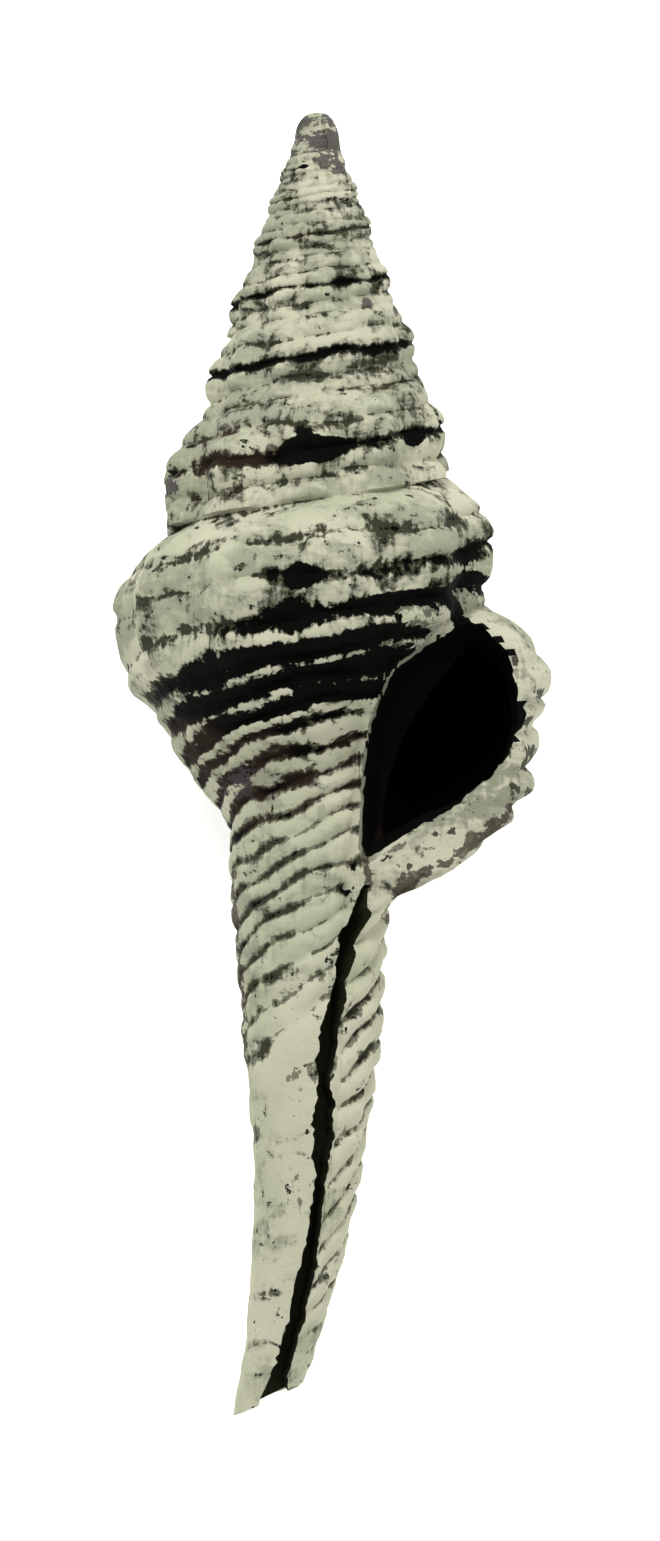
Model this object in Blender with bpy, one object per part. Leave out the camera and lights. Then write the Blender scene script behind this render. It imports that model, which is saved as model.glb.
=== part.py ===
"""Fossil spindle shell lying on its back, aperture up. Units are metres and +Z is up.

The shell is one solid. Its whorls follow a logarithmic spiral: seen from any turn, the next one
is the same shape scaled up. Places on it are given by a turn angle, measured back along the
whorls from the right-hand limb at the lip, and by a drop, measured along the coiling axis from
the point where all whorls would meet. The shell's own frame has the axis along Z with the apex
up, +X to the right and the aperture towards -Y. The object's rotation then lays it down.
"""

import math

import bmesh
import bpy

MM = 0.001

# Spiral
WHORL_GROWTH = 1.33
RIBS_PER_WHORL = 10
COLUMNS_PER_RIB = 4
COLUMNS = RIBS_PER_WHORL * COLUMNS_PER_RIB
COLUMN_ANGLE = 360 / COLUMNS
WHORLS = 7.9
APEX_DROP = 2.2 * MM
APEX_SHOULDER_DROP = 2.6 * MM
APEX_SHOULDER_SHARE = 0.7

# The outer lip stands this many columns in front of the right-hand limb, the inner lip this many.
LIP_COLUMN = -3
INNER_LIP_COLUMN = -7

# Outline of the last whorl where the growth is 1, as (drop, radius)
SUTURE_DROP = 32.45 * MM
WHORL_OUTLINE = (
    (SUTURE_DROP, 10.25 * MM),
    (33.4 * MM, 11.8 * MM),
    (34.4 * MM, 12.9 * MM),
    (35.6 * MM, 13.7 * MM),
    (37.1 * MM, 14.1 * MM),
    (38.7 * MM, 14.1 * MM),
    (39.9 * MM, 13.9 * MM),
    (41.8 * MM, 13.6 * MM),
    (43.1 * MM, 13.4 * MM),
    (45.2 * MM, 11.5 * MM),
    (47.5 * MM, 10.1 * MM),
    (49.8 * MM, 8.2 * MM),
    (52.0 * MM, 5.8 * MM),
    (55.2 * MM, 0.0 * MM),
)
# The base of the whorl flares at the lip, then turns in more sharply.
LIP_OUTLINE = (
    (41.8 * MM, 13.4 * MM),
    (44.1 * MM, 13.5 * MM),
    (45.1 * MM, 12.7 * MM),
    (46.1 * MM, 11.5 * MM),
    (47.5 * MM, 9.9 * MM),
    (48.6 * MM, 8.2 * MM),
    (50.0 * MM, 6.0 * MM),
    (52.0 * MM, 2.0 * MM),
    (55.2 * MM, 0.0 * MM),
)
# The older whorls slope more evenly from one suture to the next.
EARLY_OUTLINE = (
    (SUTURE_DROP, 10.9 * MM),
    (34.8 * MM, 11.7 * MM),
    (36.8 * MM, 12.7 * MM),
    (37.9 * MM, 13.2 * MM),
    (40.9 * MM, 13.1 * MM),
    (43.1 * MM, 14.2 * MM),
)
EARLY_START = 300
EARLY_END = 800
LIP_FLARE_START = 70
LIP_FLARE_END = 10

# Siphonal canal, as (drop, radius) and (drop, sideways shift); it isn't scaled by the spiral.
CANAL_RADIUS = (
    (45.6 * MM, 5.0 * MM),
    (53.6 * MM, 4.4 * MM),
    (59.7 * MM, 4.0 * MM),
    (65.8 * MM, 3.25 * MM),
    (72.0 * MM, 2.8 * MM),
    (78.1 * MM, 2.15 * MM),
    (82.0 * MM, 1.8 * MM),
)
CANAL_SHIFT = (
    (42.0 * MM, 0.0 * MM),
    (50.5 * MM, -0.45 * MM),
    (59.7 * MM, -0.35 * MM),
    (65.8 * MM, -0.5 * MM),
    (72.0 * MM, -1.05 * MM),
    (78.1 * MM, -2.15 * MM),
    (82.0 * MM, -3.4 * MM),
)
CANAL_RECURVE = ((60.0 * MM, 0.0 * MM), (72.0 * MM, 0.35 * MM), (82.0 * MM, 1.2 * MM))
TIP_DROP = 81.2 * MM
TIP_SLANT = 1.0 * MM
TIP_ROWS = 6

# Spiral cords: drops of the grooves between them where the growth is 1
WHORL_GROOVES = (35.3 * MM, 38.0 * MM, 40.9 * MM)
BASE_GROOVES = tuple(
    drop * MM
    for drop in (43.6, 45.5, 47.5, 50.9, 53.1, 55.3, 57.9, 60.2, 62.7, 65.8, 68.7, 71.7)
)
CORD_HEIGHT = 0.28 * MM
GROOVE_DEPTH = 0.34 * MM
CORD_FADE = (58.0 * MM, 76.0 * MM)
CORD_FADE_SHARE = 0.7
LAST_CORD_WIDTH = 3 * MM

# Axial ribs
RIB_HEIGHT = 0.45 * MM
RIB_GAIN = 0.3
RIB_GAIN_END = 720
RIB_REACH = (32.5 * MM, 37.8 * MM, 47.0 * MM)

# Aperture: how far in front of the axis its rim lies, as (drop, depth)
APERTURE_DEPTH = (
    (40.0 * MM, 7.1 * MM),
    (44.0 * MM, 6.6 * MM),
    (48.0 * MM, 5.2 * MM),
    (52.0 * MM, 4.2 * MM),
)
# Section of the hollow inside the last whorl where the growth is 1, as (drop, radius)
HOLLOW_SECTION = (
    (33.9 * MM, 10.0 * MM),
    (35.6 * MM, 12.1 * MM),
    (38.3 * MM, 12.8 * MM),
    (41.2 * MM, 12.4 * MM),
    (43.6 * MM, 11.5 * MM),
    (45.6 * MM, 9.7 * MM),
    (47.6 * MM, 7.2 * MM),
    (48.8 * MM, 5.2 * MM),
    (48.0 * MM, 3.6 * MM),
    (43.5 * MM, 3.9 * MM),
    (39.5 * MM, 5.3 * MM),
    (36.2 * MM, 7.6 * MM),
)
HOLLOW_START = -63
HOLLOW_END = 900
HOLLOW_STEPS = 50
# The hollow keeps these shares of its section, from one turn angle to another.
HOLLOW_NARROWING = ((220, 1.0), (440, 0.78), (760, 0.74), (HOLLOW_END, 0.4))

# Slit of the canal, as (drop, direction round the canal in degrees)
SLIT_PATH = (
    (46.5 * MM, -50),
    (52.0 * MM, -53),
    (56.5 * MM, -68),
    (60.0 * MM, -77),
    (68.0 * MM, -72),
    (75.0 * MM, -75),
    (83.0 * MM, -80),
)
SLIT_WIDTH = 0.9 * MM
SLIT_DEPTH = 1.8 * MM
SLIT_LEAST_REACH = 0.3 * MM
SLIT_CLEARANCE = 5 * MM
SLIT_STEPS = 14

# Resting pose
REST_TILT = 13.15
REST_PLACE = (-0.96 * MM, 41.0 * MM, 21.1 * MM)
FLOOR_SLAB = (100 * MM, 200 * MM, 4 * MM)

SHELL_COLOUR = (0.43, 0.43, 0.33, 1.0)
SHELL_ROUGHNESS = 0.8
SHARP_ANGLE = 50


def clear_scene():
    for item in list(bpy.data.objects):
        bpy.data.objects.remove(item, do_unlink=True)


def read(table, at):
    """Reads a table of pairs at a place, in straight lines between its points."""
    if at <= table[0][0]:
        return table[0][1]
    for (start, low), (end, high) in zip(table, table[1:]):
        if at <= end:
            return low + (high - low) * (at - start) / (end - start)
    return table[-1][1]


def ease(low, high, at):
    """Goes smoothly from 0 at low to 1 at high."""
    share = min(max((at - low) / (high - low), 0), 1)
    return share * share * (3 - 2 * share)


def growth(angle):
    return WHORL_GROWTH ** (-angle / 360)


def spire_radius(angle, level):
    """Radius of a whorl of the spire, as a share of its growth."""
    early = ease(EARLY_START, EARLY_END, angle)
    return (1 - early) * read(WHORL_OUTLINE, level) + early * read(EARLY_OUTLINE, level)


def blended(first, second, power=6):
    """The larger of two radii, with a soft change from one to the other."""
    return (first**power + second**power) ** (1 / power)


def last_whorl_radius(angle, drop):
    """Radius of the last whorl, with its base running out into the canal."""
    scale = growth(angle)
    flare = ease(LIP_FLARE_START, LIP_FLARE_END, angle)
    level = drop / scale
    radius = read(WHORL_OUTLINE, level)
    if level > LIP_OUTLINE[0][0]:
        radius += flare * (read(LIP_OUTLINE, level) - radius)
    return blended(radius * scale, read(CANAL_RADIUS, drop))


def rib_rise(angle, level):
    """Height of the axial ribs, which are bolder on the older whorls."""
    start, crest, end = RIB_REACH
    reach = ease(start, crest, level) * ease(end, crest, level)
    bold = 1 + RIB_GAIN * ease(0, RIB_GAIN_END, angle)
    return RIB_HEIGHT * bold * reach * math.cos(math.radians(angle * RIBS_PER_WHORL))


def cord_rise(is_groove, drop):
    height = -GROOVE_DEPTH if is_groove else CORD_HEIGHT
    return height * (1 - CORD_FADE_SHARE * ease(*CORD_FADE, drop))


def rows_between(grooves, end):
    """Rows of the mesh as (drop, is_groove): each groove, and the crest halfway to the next."""
    rows = []
    for groove, following in zip(grooves, grooves[1:] + (end,)):
        rows += [(groove, True), ((groove + following) / 2, False)]
    return rows


def point(angle, drop, radius):
    turn = math.radians(angle)
    return (
        read(CANAL_SHIFT, drop) + radius * math.cos(turn),
        read(CANAL_RECURVE, drop) + radius * math.sin(turn),
        -drop,
    )


def outer_radius(angle, drop, column):
    """Radius of the outside, or of the flat rim of the aperture in the columns in front of the lip."""
    radius = last_whorl_radius(angle, drop)
    if column >= LIP_COLUMN:
        return radius
    older = last_whorl_radius(angle + 360, drop)
    if column == INNER_LIP_COLUMN:
        return older
    rim = read(APERTURE_DEPTH, drop) / abs(math.sin(math.radians(angle)))
    return max(older, min(radius, rim))


def whorl_column(mesh, column, rows):
    """Vertices down one side of a whorl, from its suture to the next one."""
    angle = column * COLUMN_ANGLE
    scale = growth(angle)
    made = []
    for level, is_groove in rows:
        drop = level * scale
        in_rim = column < LIP_COLUMN
        radius = outer_radius(angle, drop, column) if in_rim else scale * spire_radius(angle, level)
        radius += scale * (rib_rise(angle, level) + cord_rise(is_groove, level))
        made.append(mesh.verts.new(point(angle, drop, radius)))
    return made


def base_column(mesh, column, rows):
    """Vertices of one side of the base and the canal, down to the slanted end."""
    angle = column * COLUMN_ANGLE
    scale = growth(angle)
    made = []
    for level, is_groove in rows:
        drop = level * scale
        radius = outer_radius(angle, drop, column) + scale * rib_rise(angle, level)
        made.append(mesh.verts.new(point(angle, drop, radius + cord_rise(is_groove, drop))))
    last_drop = rows[-1][0] * scale
    end = TIP_DROP - TIP_SLANT * math.cos(math.radians(angle))
    for step in range(1, TIP_ROWS + 1):
        drop = last_drop + (end - last_drop) * step / TIP_ROWS
        made.append(mesh.verts.new(point(angle, drop, outer_radius(angle, drop, column))))
    return made


def sew(mesh, left, right):
    """Closes the strip between two columns of vertices, whose numbers of rows may differ."""
    above, below = 0, 0
    while above < len(left) - 1 or below < len(right) - 1:
        step_left = above < len(left) - 1 and (
            below == len(right) - 1 or left[above + 1].co.z >= right[below + 1].co.z
        )
        if step_left:
            mesh.faces.new((left[above], left[above + 1], right[below]))
            above += 1
        else:
            mesh.faces.new((left[above], right[below + 1], right[below]))
            below += 1


def shell_body():
    """The outside of the shell, as one strip wound from the lip to the apex."""
    mesh = bmesh.new()
    whorl_rows = rows_between((SUTURE_DROP,) + WHORL_GROOVES, BASE_GROOVES[0])
    base_rows = rows_between(BASE_GROOVES, BASE_GROOVES[-1] + LAST_CORD_WIDTH)

    last_column = LIP_COLUMN + round(WHORLS * COLUMNS)
    whorl = {}
    base = {}
    for column in range(INNER_LIP_COLUMN, last_column + 1):
        whorl[column] = whorl_column(mesh, column, whorl_rows)
        if column < INNER_LIP_COLUMN + COLUMNS:
            base[column] = base_column(mesh, column, base_rows)

    def down(column):
        """All vertices below a place on the suture, down to the next whorl or the canal's end."""
        if column in base:
            return whorl[column] + base[column]
        return whorl[column] + [whorl[column - COLUMNS][0]]

    seam = INNER_LIP_COLUMN + COLUMNS
    for column in range(INNER_LIP_COLUMN, last_column):
        if column == seam - 1:
            sew(mesh, down(column), whorl[seam] + down(INNER_LIP_COLUMN))
        else:
            sew(mesh, down(column), down(column + 1))

    top = [whorl[column][0] for column in range(last_column - COLUMNS, last_column + 1)]
    cap_apex(mesh, top + whorl[last_column][1:])
    end = [base[column][-1] for column in range(INNER_LIP_COLUMN, seam)]
    mesh.faces.new(end)
    return finish_mesh(mesh, "shell")


def cap_apex(mesh, rim):
    """Closes the oldest whorl with a blunt dome."""
    shoulder = []
    for edge in rim:
        place = edge.co * APEX_SHOULDER_SHARE
        place.z = -APEX_SHOULDER_DROP
        shoulder.append(mesh.verts.new(place))
    apex = mesh.verts.new((0, 0, -APEX_DROP))
    for index, edge in enumerate(rim):
        after = (index + 1) % len(rim)
        mesh.faces.new((edge, rim[after], shoulder[after], shoulder[index]))
        mesh.faces.new((shoulder[index], shoulder[after], apex))


def finish_mesh(mesh, name):
    bmesh.ops.recalc_face_normals(mesh, faces=mesh.faces)
    data = bpy.data.meshes.new(name)
    mesh.to_mesh(data)
    mesh.free()
    return bpy.data.objects.new(name, data)


def loft(name, sections):
    """A closed solid through sections of equal numbers of points."""
    mesh = bmesh.new()
    rings = [[mesh.verts.new(place) for place in section] for section in sections]
    for ring, following in zip(rings, rings[1:]):
        for index in range(len(ring)):
            after = (index + 1) % len(ring)
            mesh.faces.new((ring[index], ring[after], following[after], following[index]))
    mesh.faces.new(rings[0])
    mesh.faces.new(rings[-1])
    return finish_mesh(mesh, name)


def hollow_cutter():
    """The hollow behind the aperture: the whorl's own section, wound back and narrowing."""
    sections = []
    middle = [sum(values) / len(HOLLOW_SECTION) for values in zip(*HOLLOW_SECTION)]
    for step in range(HOLLOW_STEPS + 1):
        angle = HOLLOW_START + (HOLLOW_END - HOLLOW_START) * step / HOLLOW_STEPS
        scale = growth(angle)
        share = read(HOLLOW_NARROWING, angle)
        section = []
        for drop, radius in HOLLOW_SECTION:
            drop = scale * (middle[0] + (drop - middle[0]) * share)
            radius = scale * (middle[1] + (radius - middle[1]) * share)
            turn = math.radians(angle)
            section.append((radius * math.cos(turn), radius * math.sin(turn), -drop))
        sections.append(section)
    return loft("hollow_cutter", sections)


def slit_cutter():
    """The narrow slit down the canal, open to the aperture above and at the tip below."""
    sections = []
    start, end = SLIT_PATH[0][0], SLIT_PATH[-1][0]
    for step in range(SLIT_STEPS + 1):
        drop = start + (end - start) * step / SLIT_STEPS
        turn = math.radians(read(SLIT_PATH, drop))
        radius = read(CANAL_RADIUS, drop)
        inner = max(radius - SLIT_DEPTH, SLIT_LEAST_REACH)
        outer = radius + SLIT_CLEARANCE
        section = []
        for reach, side in ((inner, -1), (outer, -1), (outer, 1), (inner, 1)):
            across = side * SLIT_WIDTH / 2
            section.append((
                read(CANAL_SHIFT, drop) + reach * math.cos(turn) - across * math.sin(turn),
                read(CANAL_RECURVE, drop) + reach * math.sin(turn) + across * math.cos(turn),
                -drop,
            ))
        sections.append(section)
    return loft("slit_cutter", sections)


def floor_cutter():
    """A slab under the resting shell that wears its three lowest points flat."""
    mesh = bmesh.new()
    bmesh.ops.create_cube(mesh, size=1)
    bmesh.ops.scale(mesh, vec=FLOOR_SLAB, verts=mesh.verts)
    bmesh.ops.translate(mesh, vec=(0, 0, -FLOOR_SLAB[2] / 2), verts=mesh.verts)
    return finish_mesh(mesh, "floor_cutter")


def shell_material():
    material = bpy.data.materials.new("fossil_shell")
    material.use_nodes = True
    surface = material.node_tree.nodes["Principled BSDF"]
    surface.inputs["Base Color"].default_value = SHELL_COLOUR
    surface.inputs["Roughness"].default_value = SHELL_ROUGHNESS
    surface.inputs["Metallic"].default_value = 0.0
    return material


def add_collection(name):
    made = bpy.data.collections.new(name)
    bpy.context.scene.collection.children.link(made)
    return made


def build():
    clear_scene()
    parts = add_collection("fossil_spindle_shell")
    cutters = add_collection("cutters")

    shell = shell_body()
    shell.data.materials.append(shell_material())
    shell.rotation_euler = (math.radians(REST_TILT - 90), 0, 0)
    shell.location = REST_PLACE
    parts.objects.link(shell)

    for cutter in (hollow_cutter(), slit_cutter(), floor_cutter()):
        cutter.hide_render = True
        cutter.display_type = "WIRE"
        cutters.objects.link(cutter)
        if cutter.name != "floor_cutter":
            cutter.parent = shell
        cut = shell.modifiers.new(cutter.name, "BOOLEAN")
        cut.operation = "DIFFERENCE"
        cut.object = cutter

    shell.data.shade_smooth()
    shell.data.set_sharp_from_angle(angle=math.radians(SHARP_ANGLE))


build()
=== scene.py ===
"""Looks of the fossil spindle shell: its fine surface, its finish, the light and the camera.

Lengths in the tables are millimetres in the shell's own frame, where the coiling axis is Z with
the apex up, +X is to the right and the aperture faces -Y. A place on the shell is given by a
turn angle in degrees, measured back along the whorls from the right-hand limb at the lip, and by
a drop along the axis from the point where all whorls would meet. A level is a drop divided by
the growth at that turn angle, so a spiral cord keeps one level all the way round.

A pair such as (250, 420) says over which angles, levels or places something sets in or fades.
"""

import math

import bpy
import numpy as np
from mathutils import Matrix, Vector, bvhtree, kdtree, noise


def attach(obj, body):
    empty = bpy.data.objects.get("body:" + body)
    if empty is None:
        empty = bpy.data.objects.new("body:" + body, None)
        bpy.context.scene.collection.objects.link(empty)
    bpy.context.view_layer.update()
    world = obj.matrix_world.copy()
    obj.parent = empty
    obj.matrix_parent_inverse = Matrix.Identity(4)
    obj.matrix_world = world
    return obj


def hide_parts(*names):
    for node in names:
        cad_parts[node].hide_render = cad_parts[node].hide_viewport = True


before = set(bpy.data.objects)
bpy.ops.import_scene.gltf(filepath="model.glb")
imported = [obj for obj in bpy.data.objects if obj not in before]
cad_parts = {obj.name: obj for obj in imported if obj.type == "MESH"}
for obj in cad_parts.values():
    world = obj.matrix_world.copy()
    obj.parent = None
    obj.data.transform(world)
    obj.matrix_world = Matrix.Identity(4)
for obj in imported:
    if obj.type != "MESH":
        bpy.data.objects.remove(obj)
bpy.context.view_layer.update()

MM = 0.001
TINY = 1e-9

# The photograph's frame in pixels, and where the shell's axis stands in it
IMAGE_HEIGHT = 1541
IMAGE_CENTRE = (330, 770.5)
AXIS_PIXEL = 316
SPIRAL_START_PIXEL = 77
MM_PER_PIXEL = 0.06135

# Camera: focal length and sensor, and the nearest distance it sees, in metres
LENS = 200.0
SENSOR = 36.0
CLIP_START = 0.01

# Resting place, as in the solid
REST_TILT = 13.15
REST_PLACE = Vector((-0.96, 41.0, 21.1))
TO_ROW = (
    Matrix.Translation(REST_PLACE * MM)
    @ Matrix.Rotation(math.radians(REST_TILT - 90), 4, "X")
    @ Matrix.Scale(MM, 4)
)

# Lights, as (name, direction, distance in metres, size in metres, power in watts), all aimed at
# a height in metres over the light table
LIGHTS = (
    ("key_light", (-0.2, 0.65, 1.0), 0.7, 0.3, 3.7),
    ("fill_light", (0.6, -0.1, 1.0), 0.8, 0.6, 1.4),
)
AIM_HEIGHT = 0.012
SKY_STRENGTH = 0.62
WHITE = (1.0, 1.0, 1.0, 1.0)

# The light table under the shell: its size in metres, its gap from the shell, and its finish
FLOOR_SIZE = 6
FLOOR_GAP = 0.05
FLOOR_COLOUR = (0.93, 0.93, 0.93, 1.0)
FLOOR_ROUGHNESS = 0.9
FLOOR_GLOW = 0.56

# Spiral
WHORL_GROWTH = 1.33
WHORLS = 7.875
RIBS_PER_WHORL = 10.35
LIP_ANGLE = -18
INNER_LIP_ANGLE = -63
APEX_DROP = 2.2
FIRST_WHORL_TURNS = (2330, 2480)

# Fineness of the mesh, and the angle in degrees from which an edge is sharp
COLUMNS = 240
COLUMN_ANGLE = 360 / COLUMNS
ROWS_PER_CORD = 7
CROWN_RINGS = 7
SHARP_FROM = 55

# Outlines where the growth is 1, as (level, radius). The whorl's own outline gives way to the
# lip's over FLARE_TURNS, and to that of the early whorls over EARLY_TURNS.
SUTURE = 32.45
CROWN_LEVEL = 34.0
CROWN_BLUNTNESS = 0.8
WHORL_OUTLINE = (
    (32.45, 10.25), (33.4, 11.8), (34.4, 12.9), (35.6, 13.7), (37.1, 14.1), (38.7, 14.1),
    (39.9, 13.9), (41.8, 13.6), (43.1, 13.4), (45.2, 11.5), (47.5, 10.1), (49.8, 8.2),
    (52.0, 5.8), (55.2, 0.0),
)
LIP_OUTLINE = (
    (36.8, 13.9), (38.0, 13.8), (39.2, 13.4), (41.8, 13.1), (43.6, 13.1), (45.1, 12.3),
    (46.1, 11.3), (47.2, 9.9), (48.1, 8.2), (48.9, 6.2), (50.4, 3.0), (55.2, 0.0),
)
EARLY_OUTLINE = (
    (32.45, 10.9), (34.8, 11.7), (36.8, 12.7), (37.9, 13.2), (40.9, 13.1), (43.1, 14.2),
)
EARLY_TURNS = (300, 800)
EARLY_END_LEVEL = 44
FLARE_TURNS = (10, 70)
FLARE_LEVELS = (36.0, 37.5)
LEAST_RADIUS = 0.01

# Share of the whorls' radius by turn angle
LIMB_SHARE = (
    (50, 1.0), (90, 1.0), (180, 0.96), (270, 1.0), (360, 0.965), (430, 1.0), (830, 1.0),
    (900, 0.945), (970, 1.0), (2700, 1.0),
)

# Siphonal canal by drop, which isn't scaled by the spiral
CANAL_RADIUS = (
    (45.6, 5.0), (53.6, 4.4), (59.7, 4.0), (65.8, 3.25), (72.0, 2.8), (78.1, 2.15), (82.0, 1.8),
)
CANAL_SHIFT = (
    (42.0, 0.0), (50.5, -0.45), (59.7, -0.35), (65.8, -0.5), (72.0, -1.05), (78.1, -2.15),
    (82.0, -3.4),
)
CANAL_RECURVE = ((60.0, 0.0), (72.0, 0.35), (82.0, 1.2))
CANAL_END_TURN = 300
CANAL_BLEND = 6
CANAL_LEVELS = (50.0, 56.0)
TIP_DROP = 81.2
TIP_SLANT = 1.0
TIP_LEVELS = (74, TIP_DROP)
UNWIND_LEVELS = (70.0, 81.2)
CANAL_CORE = 0.66
CANAL_CORE_DEPTH = 0.25

# Grooves between the spiral cords, each with its level, its depth, the width of the painted shade
# along it in shares of a cord, and the blackness of that shade. Over SPIRE_TURNS they change to
# those of the spire.
LEVEL, DEPTH, SHADE_WIDTH, SHADE_BLACKNESS = range(4)
GROOVES = (
    (32.45, 0.20, 0.06, 0.3), (35.3, 0.20, 0.16, 0.45), (38.0, 0.32, 0.23, 0.75),
    (40.9, 0.46, 0.58, 0.95), (43.6, 0.62, 0.79, 1.0), (45.5, 0.58, 0.75, 1.0),
    (47.5, 0.46, 0.74, 1.0), (49.0, 0.24, 0.46, 0.8), (50.9, 0.32, 0.52, 0.75),
    (52.9, 0.30, 0.50, 0.65), (54.9, 0.28, 0.44, 0.55), (56.8, 0.26, 0.38, 0.45),
    (58.7, 0.26, 0.35, 0.4), (60.6, 0.26, 0.33, 0.4), (62.5, 0.24, 0.30, 0.4),
    (64.4, 0.24, 0.30, 0.4), (66.4, 0.22, 0.30, 0.4), (68.5, 0.20, 0.28, 0.35),
    (70.7, 0.16, 0.24, 0.3), (73.0, 0.10, 0.05, 0.2), (75.6, 0.06, -0.20, 0.2),
    (78.4, 0.03, -0.25, 0.2), (81.2, 0.0, -0.25, 0.0),
)
SPIRE_GROOVES = (
    (32.45, 0.10, -0.02, 0.3), (35.3, 0.12, 0.06, 0.35), (38.0, 0.28, 0.44, 0.8),
    (40.9, 0.14, 0.02, 0.4), (43.6, 0.10, -0.04, 0.3),
)
SPIRE_TURNS = (250, 420)
WHORL_CORDS = 4

# Cords: their relief, and where it changes
CORD_HEIGHT = 0.28
CORD_FADE = 0.75
CORD_FADE_LEVELS = (58, 76)
CORD_BEADING = 0.35
SPIRE_BOLDNESS = 0.4
BROAD_CORD = 3.2
NARROW_CORD = 1.3
NARROW_CORD_LEVELS = ((42.5, 44.0), (47.5, 49.5))
CANAL_CALM = 0.45
CANAL_CALM_TURNS = ((20, 120), (250, 297))
LIMB_CALM = 0.5
LIMB_CALM_TURNS = ((130, 170), (215, 260))

# How the cords stray: waves as (height, waves by turn, waves by level, start), and two bends
CORD_WAVES = ((0.24, 3.3, 0.5, 0.0), (0.15, 7.7, -0.9, 1.3))
LIP_RUN = (-20, 60)
LIP_LIFT = 1.3
LIP_LIFT_LEVELS = ((37.5, 39.5), (46.0, 50.0))
LIMB_DIP = 1.2
LIMB_DIP_LEVELS = ((38.0, 44.0), (48.0, 53.0))
LIMB_DIP_TURNS = ((60, 140), (300, 400))

# Ribs across the cords
RIB_HEIGHT = 0.45
RIB_GAIN = 0.8
RIB_GAIN_TURNS = (0, 620)
RIB_LEVELS = ((32.5, 37.8), (37.8, 47.0))

# Unevenness of the outside, as (height, span, seed), and how it shrinks towards the apex
LUMPS = ((0.17, 2.2, 1), (0.13, 1.0, 2), (0.06, 0.45, 3))
LUMP_GROWTH = 0.6
LEAST_LUMP = 0.35
NEAR_AXIS = 0.05
SEED_STEPS = (7.1, 3.7, 5.3)

# Flat rim of the aperture, as (drop, depth in front of the axis), and its rounding
APERTURE_DEPTH = ((38.0, 5.5), (44.0, 5.1), (48.0, 4.7), (52.0, 4.2))
RIM_ROUNDING = 45
OLDER_WHORL_BLEND = 30

# The aperture's edge seen from the front, as (across, drop), and how it narrows inwards, as
# (depth in front of the axis, share). Points behind MOUTH_FRONT count as far from it.
MOUTH_OUTLINE = (
    (8.6, 33.8), (9.7, 33.6), (10.7, 34.4), (11.7, 35.6), (12.2, 37.3), (12.3, 39.0),
    (12.0, 40.7), (11.3, 42.1), (10.0, 43.4), (8.4, 44.8), (6.6, 45.8), (4.8, 46.9),
    (3.2, 47.9), (2.8, 46.6), (2.9, 43.8), (3.1, 41.4), (3.6, 39.2), (4.4, 37.2),
    (5.5, 35.9), (7.0, 34.9),
)
MOUTH_STEPS = 8
MOUTH_TAPER = ((14.0, 1.0), (5.0, 1.0), (1.5, 0.8))
MOUTH_FRONT = -2.5
FAR_FROM_MOUTH = 9.0

# Chips of that edge: their height, and waves as (share, fineness, seed)
CHIP_HEIGHT = 0.2
CHIP_WAVES = ((1.0, 1.1, 0), (0.6, 3, 5))

# Ridge along the inner lip: its distance from the edge, its spread, height and right-hand end
RIDGE_PLACE, RIDGE_SPREAD, RIDGE_HEIGHT = 0.22, 0.22, 0.28
RIDGE_END = (7.0, 8.5)

# The hollow behind the aperture: its section, and its narrowing by turn angle
HOLLOW_SECTION = (
    (33.9, 10.0), (35.6, 12.1), (38.3, 12.8), (41.2, 12.4), (43.6, 11.5), (45.6, 9.7),
    (47.0, 7.0), (47.8, 5.0), (47.2, 3.8), (43.5, 3.9), (39.5, 5.3), (36.2, 7.6),
)
HOLLOW_SECTION_STEPS = 5
HOLLOW_TURNS = (-25, 420)
HOLLOW_STEPS = 110
HOLLOW_NARROWING = ((-25, 0.86), (15, 1.0), (220, 1.0), (420, 0.7))

# The canal's slit: turn angle and width by drop, depth, and how it wavers
SLIT_PATH = (
    (49.5, -53), (52.0, -53), (56.5, -68), (60.0, -77), (68.0, -72), (75.0, -75), (83.0, -80),
)
SLIT_WIDTH = (
    (49.5, 0.3), (50.6, 0.6), (51.8, 1.3), (54.0, 1.15), (55.3, 0.75), (58.0, 1.2),
    (60.5, 1.15), (61.3, 0.6), (63.0, 1.3), (65.5, 1.25), (67.5, 0.7), (71.0, 0.8),
    (73.5, 1.15), (76.0, 1.0), (79.0, 1.0), (81.0, 1.6),
)
SLIT_DEPTH = 1.8
SLIT_LEAST_RADIUS = 0.3
SLIT_REACH = 5
SLIT_STEPS = 120
# Over SLIT_COLOUR_DROPS the painted shade in the hollow turns from black to the slit's olive
SLIT_COLOUR_DROPS = (49.0, 50.5)

# Waves of the slit's course and of its width, as (height, fineness, seed)
COURSE_WAVES = ((0.2, 0.9, (0, 0)), (0.1, 3, (0, 9)))
WIDTH_WAVES = ((0.12, 3.5, (5, 0)),)

# The slab that takes off the worn flats, how low a worn face lies in the row's frame, and how
# far a cut face lies off the outside
SLAB_SIZE = (100, 200, 4)
WORN_HEIGHT = 0.05
CUT_GAP = 0.02

# Where the grooves' painted shade fades or grows: on the base by turn angle, which shifts from
# level to level, on the canal's middle and right, at the top of the spire and at the lip.
# NO_GROOVE is the width taken off where no painted shade may be left.
# The base is painted darker as shade: there the grooves' painted shade widens by BASE_SHADE and
# the mottling greys
BASE_LEVELS = ((33.0, 36.0), (47.5, 49.5))
BASE_SHADE = ((-63, 0.7), (100, 0.4), (208, 0.25), (238, 1.02), (300, 1.12))
BASE_SHIFT = ((39.0, -25), (40.9, -18), (43.6, 16), (45.5, 28), (47.5, 40))
CANAL_FADE = 0.8
CANAL_MIDDLE = ((58.0, -0.8), (72.0, -3.4))
CANAL_MIDDLE_RUN = (0, 1.6)
CANAL_MIDDLE_END = (1.4, 2.4)
RIGHT_FADE = 0.35
RIGHT_FADE_TURNS = (20, 90)
TOP_FADE = 0.4
TOP_TURNS = (1100, 1900)
LIP_FADE_TURNS = (-18, 22)
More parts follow.
